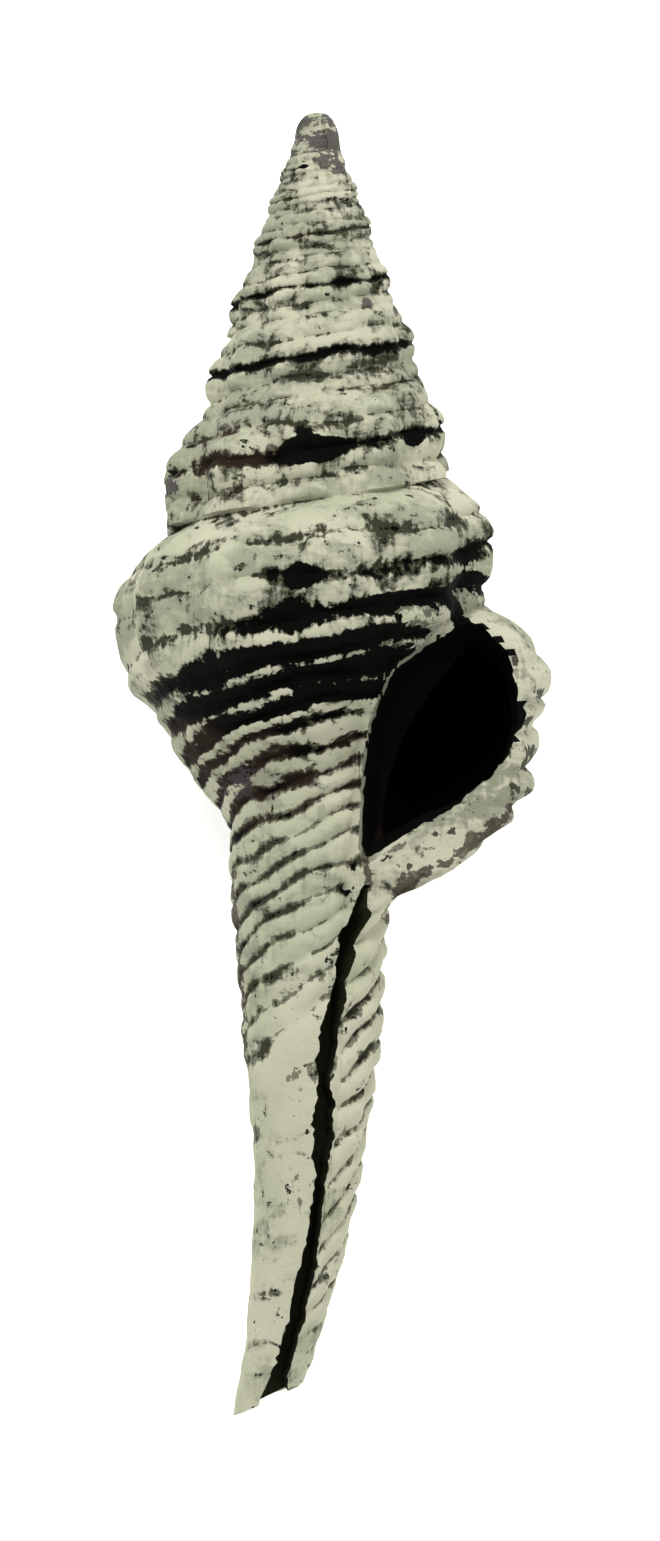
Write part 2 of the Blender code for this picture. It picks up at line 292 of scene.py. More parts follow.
NO_GROOVE = 0.4

# Next to the aperture the older whorl shows: last turn angle and lowest drop of that strip
OLDER_WHORL_TURN = -40
OLDER_WHORL_DROP = 48.5

# The aperture's pale border: its widths, and where the outer lip is
INNER_LIP_WIDTH = 0.25
OUTER_LIP_WIDTH = 2.4
OUTER_LIP_ACROSS = (6.0, 8.5)
LOW_LIP_ACROSS = (3.2, 4.4)
LOW_LIP_DROPS = (44.5, 46.0)

# How far round the sides spots and lines on the front reach
SPOT_EDGE = (-1.5, 1.5)
LINE_EDGE = (-1.0, 1.4)

# Spots on the front, as (across, drop, radius)
# The callus spots also lay a ring of painted shade round the pale callus
CALLUS_AND_SHADE = ((5.3, 33.3, 0.6), (6.3, 33.1, 0.8), (7.2, 33.5, 0.8))
BROWN_STAINS = (
    (3.6, 46.6, 0.9), (-3.0, 41.3, 1.6), (-0.4, 43.8, 1.8), (-4.0, 45.0, 1.4),
    (-7.5, 41.5, 2.6), (-8.5, 43.0, 2.0), (-6.0, 44.5, 1.6), (-4.5, 23.6, 2.2),
    (-6.8, 24.6, 1.6), (1.8, 41.0, 1.4), (1.8, 43.8, 1.4), (-0.6, 15.6, 1.0),
    (-1.0, 9.6, 0.8),
)
PURPLE_STAINS = (
    (-8.8, 41.4, 1.2), (-7.0, 44.2, 1.2), (3.2, 14.2, 0.8), (5.0, 14.4, 0.8),
    (-8.8, 25.2, 1.0), (-4.6, 43.4, 1.4),
)
# The dark blots are painted shade, as under the shoulder cords
SHADE_BLOTS = (
    (-0.4, 2.9, 0.5), (0.8, 3.6, 0.5), (-0.7, 5.6, 0.4), (-0.6, 23.2, 1.0),
    (0.6, 23.0, 0.9), (-0.9, 22.4, 0.6), (-0.8, 30.8, 0.8), (9.4, 31.0, 1.0),
    (2.3, 48.7, 0.5), (1.9, 49.8, 0.5), (6.0, 22.6, 0.5),
)
# The lip marks are painted shade along the outer lip's edge
LIP_EDGE_SHADE = (
    (12.8, 42.3, 0.45), (13.2, 41.4, 0.45), (13.6, 37.8, 0.4), (12.2, 35.8, 0.3),
    (12.9, 39.5, 0.35), (12.1, 43.6, 0.35), (12.9, 43.9, 0.35), (10.9, 43.9, 0.28),
    (9.4, 45.0, 0.3), (7.2, 46.4, 0.28), (5.7, 48.4, 0.28), (8.3, 46.3, 0.25),
)

# Lines on the front, as corners (across, drop) and a width. The seam is painted shade at the top
# of the aperture. Of the stain lines, the one under the outer lip is painted shade, and the others
# are stains at the left-hand limb, along the canal's left and at its start.
SHADE_SEAM = (((3.5, 32.4), (5.4, 32.1), (7.4, 31.9), (8.3, 32.4), (8.7, 33.5)), 0.5)
STAIN_AND_SHADE_LINES = (
    (((11.8, 44.8), (10.3, 46.5), (8.8, 47.6), (6.9, 48.4), (5.3, 49.6), (4.4, 51.6)), 0.55),
    (((-10.6, 39.5), (-8.8, 43.0), (-6.6, 45.5), (-5.3, 49.0)), 0.6),
    (((-5.2, 49.5), (-4.6, 56.0), (-4.3, 64.0)), 0.3),
    (((3.0, 47.4), (3.1, 48.6), (3.2, 49.8)), 0.28),
)

# Colours of the finish, as screen values from 0 to 255
COLOURS = {
    "cream": (180, 180, 157),
    "pale_green": (167, 169, 144),
    "chalk": (188, 188, 172),
    "grey_green": (134, 135, 117),
    "inner_lip_grey": (118, 119, 103),
    "olive_grey": (92, 92, 78),
    "dark_olive": (50, 50, 38),
    # Painted shade: the black in the grooves, along the seam and round the callus
    "shade_black": (14, 13, 11),
    # Painted shade on the faces inside the hollow and the slit
    "hollow_shade_black": (17, 16, 15),
    "slit_shade_olive": (38, 39, 28),
    "brown_earth": (50, 41, 34),
    "purple_grey": (68, 64, 65),
}
SCREEN_GAMMA = 2.2

# Noises of the finish, each centred on 0: (stretch, scale, detail, roughness, distortion)
EVEN, FLAT, TALL = (1.0, 1.0, 1.0), (0.62, 0.62, 1.15), (1.0, 1.0, 0.25)
NOISES = {
    "clouds": (EVEN, 0.16, 2.0, 0.5, 0.0),
    "patches": (FLAT, 0.42, 3.0, 0.55, 0.3),
    "blotches": (FLAT, 0.95, 4.0, 0.62, 0.5),
    "speckles": (EVEN, 1.3, 4.0, 0.72, 0.0),
    "growth_lines": (TALL, 2.4, 3.0, 0.6, 0.0),
    "ragged": (EVEN, 0.9, 4.0, 0.65, 0.0),
    "grain": (EVEN, 3.2, 5.0, 0.7, 0.0),
}
NOISE_MIDDLE = 0.5

# Marks that are stored on the mesh for the finish
MARKS = (
    "groove", "shade_blackness", "base_painted_shade", "canal", "slit", "spire", "rib_trough_shade", "outer_lip", "rim", "callus_and_shade",
    "brown", "purple", "shade_blot", "lip_edge_shade", "stain_and_shade_line", "seam_shade", "inside", "worn",
)

# Weights of the values that are summed; a sum may use the sums above it
ROUGH_EDGE = {"ragged": 1.0, "growth_lines": 0.9, "patches": 1.2, "blotches": 0.8}
CANAL_ROUGHNESS = 0.75
SUMS = {
    # Mottling, greyed on the base with painted shade
    "mottled": {
        "blotches": 1.0, "patches": 0.8, "growth_lines": 0.5, "clouds": 0.8,
        "spire": 0.1, "base_painted_shade": 0.08, "canal": -0.08,
    },
    # Random mottling, with painted shade near the grooves and between the ribs
    "shaded": {
        "speckles": 0.8, "blotches": 1.2, "patches": 1.0, "growth_lines": 0.7,
        "groove": 0.14, "rib_trough_shade": 0.03, "canal": -0.12, "spire": 0.055,
    },
    # The grooves' painted shade: its soft edge, its middle and its black core, with the dark blots
    "edge": {"groove": 1.0, "rough_edge": 1.0, "rib_trough_shade": 0.07, "shade_blot": 1.0},
    "groove_shade": {"edge": 1.0, "canal": -0.08},
    "core": {"edge": 1.0, "shade_blackness": 0.5, "shade_blot": 0.4},
    "brownish": {"brown": 1.0, "speckles": 1.0},
    "purplish": {"purple": 1.0, "blotches": 2.4, "speckles": 1.8},
    "callus_and_shaded": {"callus_and_shade": 1.0, "speckles": 1.6, "blotches": 1.0},
    "broken": {"callus_and_shaded": 1.0, "ragged": 1.4, "growth_lines": 1.0},
    "bordered": {"rim": 1.0, "speckles": 1.6, "ragged": 0.8},
    "lip_edge_shaded": {"lip_edge_shade": 1.0, "speckles": 2.0, "growth_lines": 1.0},
    "stained_and_shaded": {"stain_and_shade_line": 1.0, "speckles": 2.2, "blotches": 2.0},
    "seam_shaded": {"seam_shade": 1.0, "speckles": 0.8},
    "height": {"grain": 0.5, "growth_lines": 0.6, "edge": -0.5},
}

# Colours that change with a value, as (name, first, second, value, reach). A reach is (where the
# second colour sets in, where it is full, how much it covers), or None for the value as it is.
MIXES = (
    ("ground", "cream", "pale_green", "clouds", (-0.12, 0.12, 1.0)),
    # The next two are colours of painted shade, tinted by the brown stains
    ("shade_dark", "dark_olive", "brown_earth", "brownish", (0.35, 0.5, 1.0)),
    ("groove_shade_black", "shade_black", "brown_earth", "brown", (0.4, 0.9, 0.7)),
    ("stain_and_shade_brown", "brown_earth", "olive_grey", "speckles", (0.02, 0.16, 1.0)),
    ("callus_patch", "pale_green", "olive_grey", "speckles", (-0.06, 0.04, 1.0)),
    ("outer_border", "cream", "grey_green", "mottled", (-0.04, 0.18, 1.0)),
    ("clean_border", "inner_lip_grey", "outer_border", "outer_lip", None),
    ("border", "clean_border", "olive_grey", "speckles", (0.12, 0.14, 1.0)),
    ("clean_hollow_shade", "hollow_shade_black", "slit_shade_olive", "slit", None),
    ("hollow_shade", "clean_hollow_shade", "brown_earth", "brown", (0.4, 1.0, 0.6)),
)

# Layers over the ground colour, from below to above, as (value, reach, colour)
LAYERS = (
    ("speckles", (0.06, 0.22, 0.6), "chalk"),
    ("mottled", (-0.06, 0.20, 0.75), "grey_green"),
    ("shaded", (0.048, 0.078, 0.85), "grey_green"),
    ("shaded", (0.108, 0.138, 0.9), "olive_grey"),
    ("shaded", (0.208, 0.238, 0.9), "dark_olive"),
    # Painted shade in the grooves, from its soft edge to its black core
    ("edge", (-0.08, -0.04, 0.8), "olive_grey"),
    ("groove_shade", (0.0, 0.04, 0.9), "shade_dark"),
    ("core", (0.53, 0.57, 1.0), "groove_shade_black"),
    ("purplish", (0.80, 0.88, 0.85), "purple_grey"),
    # Painted shade round the callus, and the pale callus in its middle
    ("callus_and_shaded", (0.25, 0.32, 1.0), "shade_black"),
    ("broken", (0.62, 0.68, 1.0), "callus_patch"),
    ("bordered", (0.22, 0.30, 1.0), "border"),
    # Painted shade along the outer lip's edge
    ("lip_edge_shaded", (0.46, 0.54, 0.9), "shade_dark"),
    # Stains, and painted shade under the outer lip
    ("stained_and_shaded", (0.58, 0.68, 0.85), "stain_and_shade_brown"),
    # Painted shade along the seam
    ("seam_shaded", (0.45, 0.52, 1.0), "shade_black"),
    # Painted shade on the faces inside the hollow, the slit and the canal's end
    ("inside", None, "hollow_shade"),
    ("worn", None, "pale_green"),
)

# Fine relief, with its distance in metres, and how rough and glossy the surface is
BUMP_STRENGTH = 0.4
BUMP_DISTANCE = 0.0003
ROUGHNESS_REACH = (-0.2, 0.2, 0.72, 0.9)
SPECULAR = 0.05

# Numbers of the colour sockets of a mix
MIX_SHARE, MIX_FIRST, MIX_SECOND, MIX_RESULT = 0, 6, 7, 2


def ease(low, high, at):
    """Goes smoothly from 0 at low to 1 at high."""
    share = np.clip((np.asarray(at, float) - low) / (high - low), 0, 1)
    return share * share * (3 - 2 * share)


def window(begin, end, at):
    """Sets in over the first pair and fades over the second."""
    return ease(*begin, at) * (1 - ease(*end, at))


def read_table(table, at):
    """A table of pairs read in straight lines."""
    return np.interp(at, *np.array(table, float).T)


def smooth_table(table, blur, step=0.02):
    """A table of pairs in straight lines, with its corners rounded off, for np.interp."""
    at = np.array(table, float)[:, 0]
    pad = 4 * blur
    grid = np.arange(at[0] - pad, at[-1] + pad, step)
    reach = np.arange(-pad, pad + step, step)
    kernel = np.exp(-0.5 * (reach / blur) ** 2)
    padded = np.pad(read_table(table, grid), len(reach) // 2, mode="edge")
    rounded = np.convolve(padded, kernel / kernel.sum(), mode="valid")[: len(grid)]
    return grid, rounded


WHORL_CURVE = smooth_table(WHORL_OUTLINE, blur=0.35)
LIP_CURVE = smooth_table(LIP_OUTLINE, blur=0.35)
EARLY_CURVE = smooth_table(EARLY_OUTLINE, blur=0.5)
CANAL_CURVE = smooth_table(CANAL_RADIUS, blur=1.5)
SHIFT_CURVE = smooth_table(CANAL_SHIFT, blur=2.0)
RECURVE_CURVE = smooth_table(CANAL_RECURVE, blur=2.0)
DEPTH_CURVE = smooth_table(APERTURE_DEPTH, blur=0.8)
SLIT_CURVE = smooth_table(SLIT_PATH, blur=1.2)
LIMB_CURVE = smooth_table(LIMB_SHARE, blur=15.0, step=1.0)


def growth(angle):
    return WHORL_GROWTH ** (-np.asarray(angle, float) / 360)


def grown(angle):
    """Falls to 0 on the first whorl, which has no cords or ribs."""
    return 1 - ease(*FIRST_WHORL_TURNS, angle)


def drop_of(level, angle):
    """Near the canal's end the cords flatten out, so that the last of them follows its rim."""
    unwind = 1 - ease(*UNWIND_LEVELS, level)
    return level * growth(angle) ** unwind


def blended(first, second, power):
    """A smooth maximum of two radii, or their smooth minimum for a negative power."""
    return (first**power + second**power) ** (1 / power)


def whorl_radius(angle, drop):
    """Plain radius of a whorl, with the last one's base running out into the canal."""
    scale = growth(angle)
    level = drop / scale
    early = ease(*EARLY_TURNS, angle) * (level < EARLY_END_LEVEL)
    flare = (1 - ease(*FLARE_TURNS, angle)) * ease(*FLARE_LEVELS, level)
    radius = np.interp(level, *WHORL_CURVE)
    radius = radius + flare * (np.interp(level, *LIP_CURVE) - radius)
    radius = radius + early * (np.interp(level, *EARLY_CURVE) - radius)
    radius = radius * scale * np.interp(angle, *LIMB_CURVE)
    canal = np.where(angle < CANAL_END_TURN, np.interp(drop, *CANAL_CURVE), LEAST_RADIUS)
    return blended(np.maximum(radius, LEAST_RADIUS), canal, CANAL_BLEND)


def cord_place(level):
    """Index of the groove above a level, and how far the level is on the way to the next one."""
    levels = np.array([groove[LEVEL] for groove in GROOVES])
    index = np.clip(np.searchsorted(levels, level, side="right") - 1, 0, len(levels) - 2)
    share = (level - levels[index]) / (levels[index + 1] - levels[index])
    return index, np.clip(share, 0, 1)


def groove_value(kind, index, share, angle):
    """A value of the nearest groove, which changes from the spire to the last whorl."""
    last = np.array([groove[kind] for groove in GROOVES])
    spire = last.copy()
    spire[: len(SPIRE_GROOVES)] = [groove[kind] for groove in SPIRE_GROOVES]
    nearest = np.where(share < 0.5, index, index + 1)
    return last[nearest] + ease(*SPIRE_TURNS, angle) * (spire[nearest] - last[nearest])


def wander(level, angle):
    """How far the cords stray from their levels, as they do in a real shell."""
    turn = np.radians(angle)
    waves = sum(
        height * np.sin(by_turn * turn + by_level * level + start)
        for height, by_turn, by_level, start in CORD_WAVES
    )
    at_lip = (1 - ease(*LIP_RUN, angle)) * window(*LIP_LIFT_LEVELS, level)
    at_limb = window(*LIMB_DIP_LEVELS, level) * window(*LIMB_DIP_TURNS, angle)
    return waves + LIP_LIFT * at_lip - LIMB_DIP * at_limb * (1 + np.sin(turn))


def calm(level, angle):
    """How much flatter the cords are on the canal's front and at the left-hand limb."""
    on_canal = ease(*CANAL_LEVELS, level) * window(*CANAL_CALM_TURNS, angle)
    return np.maximum(CANAL_CALM * on_canal, LIMB_CALM * window(*LIMB_CALM_TURNS, angle))


def cord_rise(level, angle):
    """Relief of the cords: broad ones on the whorl and the canal, narrow ones on the base."""
    index, share = cord_place(level + wander(level, angle))
    narrow = window(*NARROW_CORD_LEVELS, level)
    low = np.abs(2 * share - 1) ** (BROAD_CORD + (NARROW_CORD - BROAD_CORD) * narrow)
    height = CORD_HEIGHT * (1 - CORD_FADE * ease(*CORD_FADE_LEVELS, level))
    height = height * (1 + CORD_BEADING * rib_wave(angle))
    rise = height * (1 - low) - groove_value(DEPTH, index, share, angle) * low
    bold = 1 + SPIRE_BOLDNESS * ease(*SPIRE_TURNS, angle)
    return rise * bold * grown(angle) * (1 - calm(level, angle))


def rib_wave(angle):
    return np.cos(np.radians(angle * RIBS_PER_WHORL))


def rib_rise(angle, level):
    bold = 1 + RIB_GAIN * ease(*RIB_GAIN_TURNS, angle)
    reach = window(*RIB_LEVELS, level) * ease(*LIP_RUN, angle)
    return RIB_HEIGHT * bold * reach * rib_wave(angle) * grown(angle)


def shell_point(angle, drop, radius):
    """A point of the outside, moved along with the canal's bends."""
    turn = np.radians(angle)
    across = np.interp(drop, *SHIFT_CURVE) + radius * np.cos(turn)
    away = np.interp(drop, *RECURVE_CURVE) + radius * np.sin(turn)
    return np.stack(np.broadcast_arrays(across, away, -drop), axis=-1)


def column_levels(is_base):
    """Levels of the mesh's rows from a suture downwards."""
    levels = [groove[LEVEL] for groove in GROOVES]
    if not is_base:
        levels = levels[:WHORL_CORDS] + [SUTURE * WHORL_GROWTH]
    rows = []
    for above, below in zip(levels, levels[1:]):
        step = (below - above) / ROWS_PER_CORD
        rows += [above + step * row for row in range(ROWS_PER_CORD)]
    if is_base:
        rows.append(levels[-1])
    return np.array(rows)


def column_points(column, is_base):
    """Places and levels of one column of the mesh, from a suture downwards."""
    angle = column * COLUMN_ANGLE
    levels = column_levels(is_base)
    drop = drop_of(levels, angle)
    if is_base:
        end = TIP_DROP - TIP_SLANT * math.cos(math.radians(angle))
        drop = drop + (end - drop_of(levels[-1], angle)) * ease(*TIP_LEVELS, levels)
    relief = rib_rise(angle, levels) + cord_rise(levels, angle)
    radius = whorl_radius(angle, drop) + growth(angle) * relief
    if angle < LIP_ANGLE:
        radius = radius_at_mouth(angle, drop, radius)
    return shell_point(angle, drop, radius), levels


def radius_at_mouth(angle, drop, radius):
    """Cuts the last whorl to the aperture's flat rim, down to the older whorl behind it."""
    behind = angle + 360
    older_relief = cord_rise(drop / growth(behind), behind)
    older = whorl_radius(behind, drop) + growth(behind) * older_relief
    if angle <= INNER_LIP_ANGLE:
        return older
    rim = np.interp(drop, *DEPTH_CURVE) / abs(math.sin(math.radians(angle)))
    return blended(blended(radius, rim, -RIM_ROUNDING), older, OLDER_WHORL_BLEND)


def sew(left, right, depth, faces):
    """Closes the strip between two columns with quads, or with triangles to catch up."""
    above, below = 0, 0
    while above < len(left) - 1 or below < len(right) - 1:
        if above < len(left) - 1 and below < len(right) - 1:
            gap = depth[left[above + 1]] - depth[right[below + 1]]
            half_row = (depth[left[above]] - depth[left[above + 1]]) / 2
            if abs(gap) < half_row or len(left) == len(right):
                faces.append((left[above], left[above + 1], right[below + 1], right[below]))
                above += 1
                below += 1
                continue
            step_left = gap > 0
        else:
            step_left = above < len(left) - 1
        if step_left:
            faces.append((left[above], left[above + 1], right[below]))
            above += 1
        else:
            faces.append((left[above], right[below + 1], right[below]))
            below += 1


def ring_faces(outer, inner):
    """Quads between two closed rings of vertex numbers."""
    count = len(outer)
    return [
        (outer[index], outer[(index + 1) % count], inner[(index + 1) % count], inner[index])
        for index in range(count)
    ]


def strip_columns(first, last):
    """Points, levels and turn angles of the strip's columns, and each column's vertex numbers."""
    points, levels, angles, columns, start = [], [], [], {}, 0
    for column in range(first, last + 1):
        places, rows = column_points(column, column < first + COLUMNS)
        points.append(places)
        levels.append(rows)
        angles.append(np.full(len(rows), column * COLUMN_ANGLE))
        columns[column] = list(range(start, start + len(rows)))
        start += len(rows)
    return np.concatenate(points), np.concatenate(levels), np.concatenate(angles), columns


def strip_faces(columns, first, last, depth):
    """Faces between the columns of the strip."""
    faces = []

    def down(column):
        """Vertex numbers down a column, to the canal's end or to the top of the whorl below."""
        if column < first + COLUMNS:
            return columns[column]
        return columns[column] + [columns[column - COLUMNS][0]]

    for column in range(first, last):
        right = down(column + 1)
        if column + 1 == first + COLUMNS:
            # The base closes on itself: this column runs on down the first one
            right = columns[column + 1] + columns[first]
        sew(down(column), right, depth, faces)
    return faces


def apex_dome(rim, start):
    """Faces and points of the blunt first whorl: rings that close in on its top point."""
    rings, places, faces = [], [], []
    centre = rim.mean(axis=0)
    for ring in range(CROWN_RINGS):
        turn = math.radians(90 * (ring + 1) / (CROWN_RINGS + 1))
        share, rise = math.cos(turn) ** CROWN_BLUNTNESS, math.sin(turn)
        ring_places = centre + (rim - centre) * share
        ring_places[:, 2] = rim[:, 2] * (1 - rise) - APEX_DROP * rise
        rings.append(list(range(start, start + len(rim))))
        places.append(ring_places)
        start += len(rim)
    for outer, inner in zip(rings, rings[1:]):
        faces += ring_faces(outer, inner)
    last = rings[-1]
    faces += [(last[index], last[(index + 1) % len(last)], start) for index in range(len(last))]
    places.append(np.array([[centre[0], centre[1], -APEX_DROP]]))
    return rings[0], faces, np.concatenate(places)


def outer_surface():
    """Points, faces, levels and turn angles of the closed outside, a strip wound to the apex."""
    first = round(INNER_LIP_ANGLE / COLUMN_ANGLE)
    last = round(LIP_ANGLE / COLUMN_ANGLE + WHORLS * COLUMNS)
    points, levels, angles, columns = strip_columns(first, last)
    faces = strip_faces(columns, first, last, points[:, 2])

    rim = [columns[column][0] for column in range(last - COLUMNS, last + 1)] + columns[last][1:]
    lowest_ring, dome_faces, dome = apex_dome(points[rim], len(points))
    faces += ring_faces(rim, lowest_ring) + dome_faces

    end = [columns[column][-1] for column in range(first, first + COLUMNS)]
    middle = points[end].mean(axis=0)
    core = middle + (points[end] - middle) * CANAL_CORE + (0, 0, CANAL_CORE_DEPTH)
    core_ring = [len(points) + len(dome) + index for index in range(len(core))]
    faces += ring_faces(end, core_ring) + [tuple(core_ring)]

    points = np.concatenate([points, dome, core])
    levels = [levels, np.full(len(dome), CROWN_LEVEL), np.full(len(core), TIP_DROP)]
    angles = [angles, np.full(len(dome), last * COLUMN_ANGLE), np.zeros(len(core))]
    return points, faces, np.concatenate(levels), np.concatenate(angles)


def roughness_of(points, size, seed):
    """Smooth noise at points in the shell's own frame, about -1 to 1."""
    offset = Vector([seed * step for step in SEED_STEPS])
    return np.array([noise.noise(Vector(place) / size + offset) for place in points])


def roughened(points, angles):
    """The points of the outside with its unevenness and with the ridge along the inner lip."""
    drop = -points[:, 2]
    middle = np.stack([np.interp(drop, *SHIFT_CURVE), np.interp(drop, *RECURVE_CURVE)], axis=-1)
    outward = points[:, :2] - middle
    outward = outward / np.maximum(np.linalg.norm(outward, axis=1, keepdims=True), NEAR_AXIS)
    size = np.clip(growth(angles) ** LUMP_GROWTH, LEAST_LUMP, 1)
    rise = size * sum(height * roughness_of(points, span, seed) for height, span, seed in LUMPS)
    ridge = np.exp(-(((past_mouth(points) - RIDGE_PLACE) / RIDGE_SPREAD) ** 2))
    rise = rise + RIDGE_HEIGHT * ridge * (1 - ease(*RIDGE_END, points[:, 0]))
    moved = points.copy()
    moved[:, :2] += outward * rise[:, None]
    return moved


def mesh_object(name, points, faces):
    """A mesh in the row's frame from points in the shell's own frame."""
    data = bpy.data.meshes.new(name)
    data.from_pydata([tuple(place) for place in points], [], faces)
    data.transform(TO_ROW)
    data.update()
    made = bpy.data.objects.new(name, data)
    bpy.context.scene.collection.objects.link(made)
    turn_faces_out(made)
    return made


def turn_faces_out(obj):
    """Turns the faces of a closed mesh to point out."""
    bpy.context.view_layer.objects.active = obj
    bpy.ops.object.mode_set(mode="EDIT")
    bpy.ops.mesh.select_all(action="SELECT")
    bpy.ops.mesh.normals_make_consistent(inside=False)
    bpy.ops.object.mode_set(mode="OBJECT")


def loft(name, sections):
    """A closed tube through sections of equal numbers of points."""
    count = len(sections[0])
    points = np.concatenate(sections)
    faces = [tuple(range(count)), tuple(range(len(points) - count, len(points)))]
    rings = [range(start, start + count) for start in range(0, len(points), count)]
    for near, far in zip(rings, rings[1:]):
        faces += ring_faces(near, far)
    return mesh_object(name, points, faces)


def rounded_loop(corners, steps):
    """A closed curve through its corners, with some steps from each to the next."""
    here = np.array(corners, float)
    before, after, beyond = (np.roll(here, shift, axis=0) for shift in (1, -1, -2))
    rings = []
    for step in range(steps):
        t = step / steps
        rings.append(0.5 * (
            2 * here + (after - before) * t
            + (2 * before - 5 * here + 4 * after - beyond) * t**2
            + (3 * here - before - 3 * after + beyond) * t**3
        ))
    return np.stack(rings, axis=1).reshape(-1, 2)


def hollow_cutter():
    """The tube of the whorl's inside, wound back from the aperture."""
    section = rounded_loop(HOLLOW_SECTION, HOLLOW_SECTION_STEPS)
    middle = section.mean(axis=0)
    sections = []
    for angle in np.linspace(*HOLLOW_TURNS, HOLLOW_STEPS):
        share = read_table(HOLLOW_NARROWING, angle)
        drop, radius = (growth(angle) * (middle + (section - middle) * share)).T
        turn = math.radians(angle)
        across, away = radius * math.cos(turn), radius * math.sin(turn)
        sections.append(np.stack([across, away, -drop], axis=-1))
    return loft("hollow_cutter", sections)


def mouth_edge():
    """The aperture's edge with small chips, as points seen from the front."""
    edge = rounded_loop(MOUTH_OUTLINE, MOUTH_STEPS)
    chips = np.array([
        sum(share * noise.noise(Vector((*place, seed)) * fine) for share, fine, seed in CHIP_WAVES)
        for place in edge
    ])
    away = edge - edge.mean(axis=0)
    away = away / np.linalg.norm(away, axis=1, keepdims=True)
    return edge + away * (CHIP_HEIGHT * chips)[:, None]


def mouth_cutter():
    """Opens the aperture from the front into the hollow."""
    edge = mouth_edge()
    middle = edge.mean(axis=0)
    sections = []
    for depth, share in MOUTH_TAPER:
        across, drop = (middle + (edge - middle) * share).T
        sections.append(np.stack([across, np.full(len(edge), -depth), -drop], axis=-1))
    return loft("mouth_cutter", sections)


def wavering(waves, drop):
    """Sum of noises along the slit."""
    return sum(
        height * noise.noise(Vector((*seed, drop * fineness))) for height, fineness, seed in waves
    )


def slit_cutter():
    """A ragged wedge along the canal's front."""
    sections = []
    for drop in np.linspace(SLIT_PATH[0][0], SLIT_PATH[-1][0], SLIT_STEPS):
        turn = math.radians(np.interp(drop, *SLIT_CURVE))
        radius = np.interp(drop, *CANAL_CURVE)
        middle = np.array([np.interp(drop, *SHIFT_CURVE), np.interp(drop, *RECURVE_CURVE), -drop])
        out = np.array([math.cos(turn), math.sin(turn), 0.0])
        side = np.array([-math.sin(turn), math.cos(turn), 0.0])
        inner = middle + out * max(radius - SLIT_DEPTH, SLIT_LEAST_RADIUS)
        outer = middle + out * (radius + SLIT_REACH)
        course = wavering(COURSE_WAVES, drop)
        half = read_table(SLIT_WIDTH, drop) / 2 + wavering(WIDTH_WAVES, drop)
        sections.append(np.array([
            inner + side * course,
            inner + side * (course - half),
            outer + side * (course - half),
            outer + side * (course + half),
            inner + side * (course + half),
        ]))
    return loft("slit_cutter", sections)


def floor_cutter():
    """A slab under the surface that the shell rests on, which takes off the worn flats."""
    bpy.ops.mesh.primitive_cube_add(size=1, location=(0, 0, -SLAB_SIZE[2] / 2 * MM))
    slab = bpy.context.object
    slab.name = "floor_cutter"
    slab.dimensions = [side * MM for side in SLAB_SIZE]
    bpy.context.view_layer.update()
    return slab


def cut(obj, cutters):
    """Cuts an object with each cutter, and drops the cutters."""
    for cutter in cutters:
        step = obj.modifiers.new(cutter.name, "BOOLEAN")
        step.operation = "DIFFERENCE"
        step.solver = "MANIFOLD"
        step.object = cutter
    graph = bpy.context.evaluated_depsgraph_get()
    cut_mesh = bpy.data.meshes.new_from_object(obj.evaluated_get(graph))
    cut_mesh.validate()
    obj.modifiers.clear()
    obj.data = cut_mesh
    for cutter in cutters:
        bpy.data.objects.remove(cutter, do_unlink=True)


def seen_from_front(places):
    """Places as (across, drop)."""
    return np.stack([places[:, 0], -places[:, 2]], axis=-1)


def gap_to_line(seen, start, end):
    """Distance of each seen place from a straight stretch."""
    run = end - start
    share = np.clip(((seen - start) @ run) / (run @ run), 0, 1)
    return np.linalg.norm(seen - start - share[:, None] * run, axis=1)


def past_mouth(points):
    """How far points of the front lie outside the aperture's edge, and far away for the back."""
    seen = seen_from_front(points)
    edge = mouth_edge()
    gap = np.full(len(points), np.inf)
    inside = np.zeros(len(points), bool)
    for start, end in zip(edge, np.roll(edge, -1, axis=0)):
        run = end - start
        gap = np.minimum(gap, gap_to_line(seen, start, end))
        crosses = (start[1] > seen[:, 1]) != (end[1] > seen[:, 1])
        crossed_at = start[0] + (seen[:, 1] - start[1]) * run[0] / (run[1] or TINY)
        inside ^= crosses & (seen[:, 0] < crossed_at)
    return np.where(points[:, 1] < MOUTH_FRONT, np.where(inside, -gap, gap), FAR_FROM_MOUTH)


def spots(places, table):
    """Sums soft round spots, given as (across, drop, radius), on the front."""
    seen = seen_from_front(places)
    total = np.zeros(len(places))
    for across, drop, radius in table:
        gap = np.linalg.norm(seen - (across, drop), axis=1)
        total = total + np.exp(-((gap / radius) ** 2))
    return np.minimum(total, 1) * (1 - ease(*SPOT_EDGE, places[:, 1]))


def near_line(places, corners, width):
    """1 on a line through the corners on the front, falling off over its width."""
    seen = seen_from_front(places)
    corners = np.array(corners)
    gaps = [gap_to_line(seen, start, end) for start, end in zip(corners, corners[1:])]
    gap = np.min(gaps, axis=0)
    return np.exp(-((gap / width) ** 2)) * (1 - ease(*LINE_EDGE, places[:, 1]))


def canal_fade(places, level, angle):
    """Share of the grooves' painted shade that is left on the canal's middle and right."""
    canal = ease(*CANAL_LEVELS, level)
    across = places[:, 0]
    middle = ease(*CANAL_MIDDLE_RUN, across - read_table(CANAL_MIDDLE, level))
    middle = middle * (1 - ease(*CANAL_MIDDLE_END, across)) * (places[:, 1] < 0)
    right = 1 - ease(*RIGHT_FADE_TURNS, angle)
    return (1 - CANAL_FADE * canal * middle) * (1 - RIGHT_FADE * canal * right)


